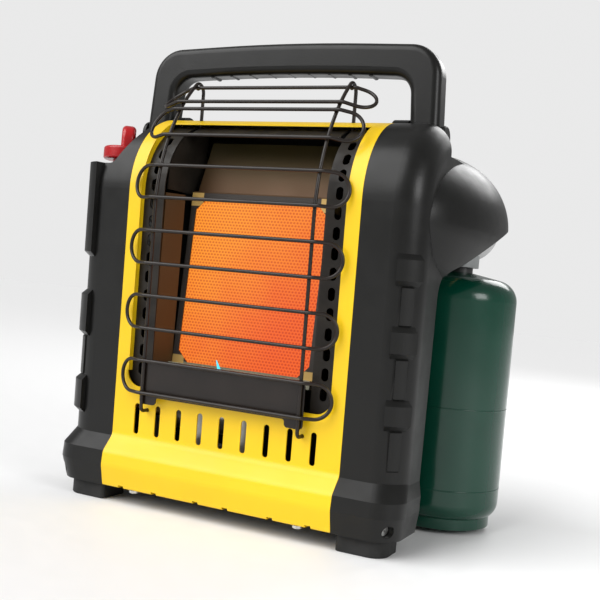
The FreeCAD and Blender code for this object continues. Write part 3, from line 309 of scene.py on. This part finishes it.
def heat_tint_and_glow_steel(name, low_node, high_node, lower, upper, roughness):
    """Steel whose heat tint and painted glow of the tile change with height between two pieces: the lower
    colour is the painted glow, more orange near the tile.
    """
    material, tree, shader = new_material(name)
    split = tree.nodes.new("ShaderNodeSeparateXYZ")
    tree.links.new(object_coordinates(tree), split.inputs["Vector"])
    low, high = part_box(low_node)[0].z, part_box(high_node)[1].z
    height = spread(tree, split.outputs["Z"], low, high)
    patches = spread(tree, noise(tree, 0.03), 0.3, 0.7, -0.06, 0.06)
    factor = calculate(tree, "ADD", height, patches)
    colours = blend_colours(tree, factor, lower, upper)
    tree.links.new(colours, shader.inputs["Base Color"])
    shader.inputs["Metallic"].default_value = 0.4
    gloss = spread(tree, noise(tree, 0.05), 0.3, 0.7, roughness * 0.92, roughness * 1.08)
    tree.links.new(gloss, shader.inputs["Roughness"])
    return material


def frame_material():
    """Dark frame with bare tan corners and a grey lower lip."""
    material, tree, shader = new_material("frame_steel")
    split = tree.nodes.new("ShaderNodeSeparateXYZ")
    tree.links.new(object_coordinates(tree), split.inputs["Vector"])
    low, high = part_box("tile_frame")
    centre = (low + high) / 2
    from_middle = calculate(tree, "ABSOLUTE", calculate(tree, "SUBTRACT", split.outputs["X"], centre.x))
    from_centre = calculate(tree, "ABSOLUTE", calculate(tree, "SUBTRACT", split.outputs["Z"], centre.z))
    beside = calculate(tree, "SUBTRACT", from_middle, (high.x - low.x) / 2 - CORNER_SIZE)
    beyond = calculate(tree, "SUBTRACT", from_centre, (high.z - low.z) / 2 - CORNER_SIZE)
    in_corner = spread(tree, calculate(tree, "MINIMUM", beside, beyond), 0.0, 0.0006)
    at_foot = spread(tree, split.outputs["Z"], low.z + LIP_HEIGHT + EDGE_BLUR, low.z + LIP_HEIGHT)
    sides = blend_colours(tree, at_foot, FRAME_DARK, FRAME_LIP)
    colours = blend_colours(tree, in_corner, sides, FRAME_CORNER)
    tree.links.new(colours, shader.inputs["Base Color"])
    shader.inputs["Metallic"].default_value = 0.2
    shader.inputs["Roughness"].default_value = 0.5
    return material


def flame_material():
    material, tree, shader = new_material("pilot_flame")
    shader.inputs["Base Color"].default_value = (0.02, 0.1, 0.12, 1)
    shader.inputs["Emission Color"].default_value = (0.05, 0.75, 0.95, 1)
    shader.inputs["Emission Strength"].default_value = 1.1
    return material


# Dressing of pieces
def dress(material, *names):
    for name in names:
        piece = cad[name]
        piece.data.materials.clear()
        piece.data.materials.append(material)


def names_starting(*starts):
    return [name for name in sorted(cad) if name.startswith(starts)]


def plain_mesh(holder, name):
    """Turn what the modifiers make into a plain mesh of its own."""
    graph = bpy.context.evaluated_depsgraph_get()
    mesh = bpy.data.meshes.new_from_object(holder.evaluated_get(graph))
    holder.modifiers.clear()
    holder.data = mesh
    holder.name = name
    mesh.name = name
    return holder


def node_tree(name, inputs):
    """A geometry node tree with named inputs, given as name, socket type and default."""
    tree = bpy.data.node_groups.new(name, "GeometryNodeTree")
    tree.interface.new_socket("Geometry", in_out="INPUT", socket_type="NodeSocketGeometry")
    for label, kind, default in inputs:
        socket = tree.interface.new_socket(label, in_out="INPUT", socket_type=kind)
        if default is not None:
            socket.default_value = default
    tree.interface.new_socket("Geometry", in_out="OUTPUT", socket_type="NodeSocketGeometry")
    return tree, tree.nodes.new("NodeGroupInput"), tree.nodes.new("NodeGroupOutput")


def end_tree(tree, geometry, source, output):
    """Realize Instances and Set Material close every tree."""
    realize = tree.nodes.new("GeometryNodeRealizeInstances")
    paint = tree.nodes.new("GeometryNodeSetMaterial")
    tree.links.new(geometry, realize.inputs["Geometry"])
    tree.links.new(realize.outputs["Geometry"], paint.inputs["Geometry"])
    tree.links.new(source.outputs["Material"], paint.inputs["Material"])
    tree.links.new(paint.outputs["Geometry"], output.inputs["Geometry"])


def run_tree(tree, name, points, values):
    """Run a tree on a mesh of loose points and keep the result as a plain mesh."""
    mesh = bpy.data.meshes.new(name)
    mesh.from_pydata(points, [], [])
    holder = bpy.data.objects.new(name, mesh)
    bpy.context.scene.collection.objects.link(holder)
    modifier = holder.modifiers.new(name, "NODES")
    modifier.node_group = tree
    for item in tree.interface.items_tree:
        if item.in_out == "INPUT" and item.name in values:
            modifier[item.identifier] = values[item.name]
    return plain_mesh(holder, name)


def weld_tree():
    """A small ball of weld on every point."""
    inputs = [("Radius", "NodeSocketFloat", 0.002), ("Material", "NodeSocketMaterial", None)]
    tree, source, output = node_tree("guard_welds", inputs)
    ball = tree.nodes.new("GeometryNodeMeshIcoSphere")
    ball.inputs["Subdivisions"].default_value = 2
    tree.links.new(source.outputs["Radius"], ball.inputs["Radius"])
    place = tree.nodes.new("GeometryNodeInstanceOnPoints")
    tree.links.new(source.outputs["Geometry"], place.inputs["Points"])
    tree.links.new(ball.outputs["Mesh"], place.inputs["Instance"])
    smooth = tree.nodes.new("GeometryNodeSetShadeSmooth")
    tree.links.new(place.outputs["Instances"], smooth.inputs["Geometry"])
    end_tree(tree, smooth.outputs["Geometry"], source, output)
    return tree


def seam_tree():
    """A round bead on a circle about the Z axis, centred on every point."""
    inputs = [("Radius", "NodeSocketFloat", 0.0485), ("Bead", "NodeSocketFloat", 0.0007),
              ("Segments", "NodeSocketInt", 96), ("Material", "NodeSocketMaterial", None)]
    tree, source, output = node_tree("cylinder_seams", inputs)
    path = tree.nodes.new("GeometryNodeCurvePrimitiveCircle")
    tree.links.new(source.outputs["Segments"], path.inputs["Resolution"])
    tree.links.new(source.outputs["Radius"], path.inputs["Radius"])
    section = tree.nodes.new("GeometryNodeCurvePrimitiveCircle")
    section.inputs["Resolution"].default_value = 8
    tree.links.new(source.outputs["Bead"], section.inputs["Radius"])
    sweep = tree.nodes.new("GeometryNodeCurveToMesh")
    tree.links.new(path.outputs["Curve"], sweep.inputs["Curve"])
    tree.links.new(section.outputs["Curve"], sweep.inputs["Profile Curve"])
    place = tree.nodes.new("GeometryNodeInstanceOnPoints")
    tree.links.new(source.outputs["Geometry"], place.inputs["Points"])
    tree.links.new(sweep.outputs["Mesh"], place.inputs["Instance"])
    end_tree(tree, place.outputs["Instances"], source, output)
    return tree


def wire_crossings():
    """Where the bars of each loop cross the two uprights."""
    places = []
    for upright in names_starting("guard_upright"):
        low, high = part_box(upright)
        x = (low.x + high.x) / 2
        side = 1 if x > middle("guard_plate").x else -1
        for loop in names_starting("guard_loop"):
            near = [v.co for v in cad[loop].data.vertices if 0 < side * (v.co.x - x) < BESIDE_UPRIGHT]
            centre = sum((v.z for v in near), 0.0) / len(near)
            for rows in ([v for v in near if v.z > centre], [v for v in near if v.z <= centre]):
                bar = sum(rows, Vector()) / len(rows)
                places.append((x, bar.y + WELD_SETBACK, bar.z))
    return places


# Operators
class HeaterPiece:
    """What the operators share: run the build step and finish."""
    bl_options = {"REGISTER", "UNDO"}

    def execute(self, context):
        self.build(context.scene)
        return {"FINISHED"}


class HEATER_OT_front(HeaterPiece, bpy.types.Operator):
    """Powder coat on the sheet steel front"""
    bl_idname = "heater.front"
    bl_label = "Front panel"

    def build(self, scene):
        paint = surface("yellow_paint", scene.heater_paints.yellow, 0.38, coat=0.1, grain=0.0016,
                        depth=0.00002, mottle=0.03, mottle_size=0.08, specular=0.35)
        dress(paint, "front_panel")


class HEATER_OT_casings(HeaterPiece, bpy.types.Operator):
    """Moulded casings, the painted cover behind them and the feet"""
    bl_idname = "heater.casings"
    bl_label = "Casings and feet"

    def build(self, scene):
        paints = scene.heater_paints
        plastic = surface("black_plastic", paints.black, 0.34, grain=paints.grain, depth=0.00004, mottle=0.10,
                          specular=0.27)
        dress(plastic, "left_casing", "right_casing")
        paint = surface("black_paint", paints.black, 0.5, grain=0.002, depth=0.00004, specular=0.3)
        dress(paint, "rear_cover", "base_pan")
        rubber = surface("foot_rubber", shade(paints.black, 0.9), 0.75, grain=0.002, depth=0.0001)
        dress(rubber, *names_starting("foot_"))
        zinc = surface("zinc_steel", ZINC, 0.35, metallic=1.0, mottle_size=0.01)
        dress(zinc, "base_screws", "casing_screws", "orifice_bracket", "valve_bracket", "pilot_bracket",
              "swivel_bracket", "venturi_tube", "valve_stem")


class HEATER_OT_handle(HeaterPiece, bpy.types.Operator):
    """Folding handle and its pivots"""
    bl_idname = "heater.handle"
    bl_label = "Handle"

    def build(self, scene):
        paints = scene.heater_paints
        plastic = surface("handle_plastic", paints.black, 0.32, grain=paints.grain, depth=0.00004, mottle=0.10,
                          specular=0.27)
        dress(plastic, "handle", "handle_pivot_pins")


class HEATER_OT_knob(HeaterPiece, bpy.types.Operator):
    """Red control knob"""
    bl_idname = "heater.knob"
    bl_label = "Control knob"

    def build(self, scene):
        plastic = surface("red_plastic", scene.heater_paints.red, 0.28, coat=0.15, mottle=0.05, specular=0.35)
        dress(plastic, "knob")


class HEATER_OT_guard(HeaterPiece, bpy.types.Operator):
    """Wire guard with a weld at every crossing"""
    bl_idname = "heater.guard"
    bl_label = "Wire guard"

    def build(self, scene):
        coat = surface("wire_paint", scene.heater_paints.wire, 0.32, grain=0.0012, depth=0.00002,
                       mottle=0.2, mottle_size=0.02, specular=0.35)
        dress(coat, "guard_plate", *names_starting("guard_loop", "guard_upright"))
        details = scene.heater_details
        values = {"Radius": details.weld_radius, "Material": coat}
        welds = run_tree(weld_tree(), "guard_welds", wire_crossings(), values)
        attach(welds, "heater")


class HEATER_OT_linings(HeaterPiece, bpy.types.Operator):
    """Steel strips, reflectors and the hood inside the window"""
    bl_idname = "heater.linings"
    bl_label = "Linings and reflectors"

    def build(self, scene):
        # Near-black strips and plates, partly painted shade of the shadowed gaps beside the tile
        dark = surface("dark_steel", DARK_STEEL_AND_SHADE, 0.45, mottle=0.3, mottle_size=0.02, specular=0.25)
        dress(dark, "top_strip", "burner_box", *names_starting("side_strip", "upper_side_plate"))
        # Heat tint with a painted glow of the tile, more orange towards the bottom near the tile
        heat_and_glow = heat_tint_and_glow_steel("reflector_steel", "reflector_hood", "reflector_hood",
                              *HOOD_HEAT_AND_GLOW_TINTS, 0.5)
        dress(heat_and_glow, "reflector_hood")
        sides = heat_tint_and_glow_steel("side_reflector_steel", "side_reflector_left", "side_reflector_left",
                             *SIDE_HEAT_AND_GLOW_TINTS, 0.45)
        dress(sides, "side_reflector_left", "side_reflector_right")


class HEATER_OT_burner(HeaterPiece, bpy.types.Operator):
    """Glowing tile in its frame, and the pilot flame"""
    bl_idname = "heater.burner"
    bl_label = "Burner"

    def build(self, scene):
        burner = scene.heater_burner
        dress(tile_material(burner), "ceramic_tile")
        dress(frame_material(), "tile_frame")
        dress(surface("rail_steel", RAIL_STEEL, 0.4, metallic=0.8, mottle=0.2), "lower_rail")
        dress(surface("gasket_fibre", GASKET_FIBRE, 0.95), "tile_gasket")
        self.pilot_flame(burner)

    def pilot_flame(self, burner):
        """A slim cone that leans from the pilot towards the tile."""
        start = middle("pilot_burner")
        start.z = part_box("pilot_burner")[1].z
        bpy.ops.mesh.primitive_cone_add(vertices=20, radius1=FLAME_FOOT, radius2=FLAME_TIP,
                                        depth=burner.flame_length)
        flame = bpy.context.object
        flame.name = "pilot_flame"
        turn = Vector((0, 0, 1)).rotation_difference(FLAME_LEAN).to_matrix().to_4x4()
        flame.data.transform(Matrix.Translation(start + FLAME_LEAN * burner.flame_length / 2) @ turn)
        flame.data.materials.append(flame_material())
        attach(flame, "heater")


class HEATER_OT_gas_train(HeaterPiece, bpy.types.Operator):
    """Valve, tubes, pilot group and regulator"""
    bl_idname = "heater.gas_train"
    bl_label = "Gas train"

    def build(self, scene):
        alloy = surface("cast_alloy", CAST_ALLOY, 0.45, metallic=0.9, grain=0.0015, depth=0.00008)
        grey = surface("grey_plastic", GREY_PLASTIC, 0.45, mottle=0.06)
        copper = surface("copper_tube", COPPER, 0.3, metallic=1.0, mottle=0.15)
        brass = surface("brass", BRASS, 0.3, metallic=1.0, mottle=0.1)
        dress(alloy, "gas_valve_body", "regulator_body")
        dress(grey, "piezo_igniter", "tip_switch", "regulator_cap", "inlet_socket")
        dress(copper, "pilot_tube", "main_gas_tube", "supply_tube", "thermocouple")
        dress(brass, "gas_orifice", "pilot_burner", "swivel_spindle")
        dress(surface("lead_sleeve", LEAD_SLEEVE, 0.6), "ignition_lead", "thermocouple_lead")
        dress(surface("white_ceramic", WHITE_CERAMIC, 0.25, coat=0.5), "spark_electrode")


class HEATER_OT_cylinder(HeaterPiece, bpy.types.Operator):
    """Enamelled gas cylinder with its seams"""
    bl_idname = "heater.cylinder"
    bl_label = "Gas cylinder"

    def build(self, scene):
        enamel = surface("green_paint", scene.heater_paints.green, 0.22, coat=0.2, grain=0.006,
                         depth=0.00004, mottle=0.08, specular=0.35)
        dress(enamel, "cylinder_shell")
        dress(surface("black_valve", VALVE_BLACK, 0.35), "cylinder_valve")
        details = scene.heater_details
        low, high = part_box("cylinder_shell")
        centre = (low + high) / 2
        places = [(centre.x, centre.y, details.seam_low), (centre.x, centre.y, details.seam_high)]
        radius = (high.x - low.x) / 2 - details.seam_bead * 0.6
        values = {"Radius": radius, "Bead": details.seam_bead, "Segments": details.seam_segments,
                  "Material": enamel}
        seams = run_tree(seam_tree(), "cylinder_seams", places, values)
        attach(seams, "gas_cylinder")


class HEATER_OT_stage(HeaterPiece, bpy.types.Operator):
    """Pale floor, soft light and the camera"""
    bl_idname = "heater.stage"
    bl_label = "Stage"

    def build(self, scene):
        stage = scene.heater_stage
        scene.view_settings.view_transform = "Standard"
        bpy.ops.mesh.primitive_plane_add(size=stage.floor_size)
        floor = bpy.context.object
        floor.name = "floor"
        floor.data.materials.append(surface("floor_paper", stage.floor_colour, 0.6, mottle=0.0))
        self.sun(stage)
        self.light("right_light", *RIGHT_LIGHT)
        self.light("rear_light", *REAR_LIGHT)
        self.sky(scene, stage)
        self.camera(scene, stage)

    def sun(self, stage):
        """Wide soft light over the whole floor, from the front left."""
        data = bpy.data.lights.new("soft_sun", "SUN")
        data.energy = stage.sun
        data.angle = SUN_SPREAD
        lamp = bpy.data.objects.new("soft_sun", data)
        lamp.rotation_euler = SUN_DIRECTION.to_track_quat("-Z", "Y").to_euler()
        bpy.context.scene.collection.objects.link(lamp)

    def light(self, name, place, size, power):
        data = bpy.data.lights.new(name, "AREA")
        data.size = size
        data.energy = power
        lamp = bpy.data.objects.new(name, data)
        lamp.location = place
        aim = LIGHT_TARGET - Vector(place)
        lamp.rotation_euler = aim.to_track_quat("-Z", "Y").to_euler()
        bpy.context.scene.collection.objects.link(lamp)

    def sky(self, scene, stage):
        world = bpy.data.worlds.new("studio")
        world.use_nodes = True
        background = world.node_tree.nodes["Background"]
        background.inputs["Color"].default_value = (1, 1, 1, 1)
        path = world.node_tree.nodes.new("ShaderNodeLightPath")
        seen = path.outputs["Is Camera Ray"]
        strength = spread(world.node_tree, seen, 0.0, 1.0, stage.sky, stage.backdrop)
        world.node_tree.links.new(strength, background.inputs["Strength"])
        scene.world = world

    def camera(self, scene, stage):
        """The photo's own view: turned, slightly above and rolled."""
        data = bpy.data.cameras.new("camera")
        data.lens = stage.focal_length
        data.sensor_width = SENSOR_WIDTH
        data.clip_start = 0.01
        camera = bpy.data.objects.new("camera", data)
        yaw, pitch, roll = stage.camera_yaw, stage.camera_pitch, stage.camera_roll
        back = Vector((math.sin(yaw) * math.cos(pitch), -math.cos(yaw) * math.cos(pitch), math.sin(pitch)))
        right = Vector((math.cos(yaw), math.sin(yaw), 0))
        up = back.cross(right)
        turned_right = right * math.cos(roll) + up * math.sin(roll)
        turned_up = up * math.cos(roll) - right * math.sin(roll)
        turn = Matrix((turned_right, turned_up, back)).transposed()
        camera.matrix_world = Matrix.Translation(stage.camera_place) @ turn.to_4x4()
        scene.collection.objects.link(camera)
        scene.camera = camera


OPERATORS = (
    HEATER_OT_front, HEATER_OT_casings, HEATER_OT_handle, HEATER_OT_knob, HEATER_OT_guard,
    HEATER_OT_linings, HEATER_OT_burner, HEATER_OT_gas_train, HEATER_OT_cylinder, HEATER_OT_stage,
)


class HEATER_PT_panel(bpy.types.Panel):
    """Lists the steps that dress the heater"""
    bl_idname = "HEATER_PT_panel"
    bl_label = "Portable heater"
    bl_space_type = "VIEW_3D"
    bl_region_type = "UI"
    bl_category = "Heater"

    def draw(self, context):
        for settings in (context.scene.heater_paints, context.scene.heater_burner,
                         context.scene.heater_details, context.scene.heater_stage):
            for name in settings.bl_rna.properties.keys():
                if name not in ("rna_type", "name"):
                    self.layout.prop(settings, name)
        for operator in OPERATORS:
            self.layout.operator(operator.bl_idname)


GROUPS = {
    "heater_paints": HeaterPaints,
    "heater_burner": HeaterBurner,
    "heater_details": HeaterDetails,
    "heater_stage": HeaterStage,
}


def register():
    for group in GROUPS.values():
        bpy.utils.register_class(group)
    for name, group in GROUPS.items():
        setattr(bpy.types.Scene, name, PointerProperty(type=group))
    for operator in OPERATORS:
        bpy.utils.register_class(operator)
    bpy.utils.register_class(HEATER_PT_panel)


def unregister():
    bpy.utils.unregister_class(HEATER_PT_panel)
    for operator in reversed(OPERATORS):
        bpy.utils.unregister_class(operator)
    for name, group in GROUPS.items():
        delattr(bpy.types.Scene, name)
        bpy.utils.unregister_class(group)


def main():
    for thing in list(bpy.data.objects):
        if thing.type in ("LIGHT", "CAMERA") or thing.name == "Cube":
            bpy.data.objects.remove(thing)
    register()
    for operator in OPERATORS:
        group, name = operator.bl_idname.split(".")
        getattr(getattr(bpy.ops, group), name)()
    bpy.context.view_layer.update()


if __name__ == "__main__":
    main()
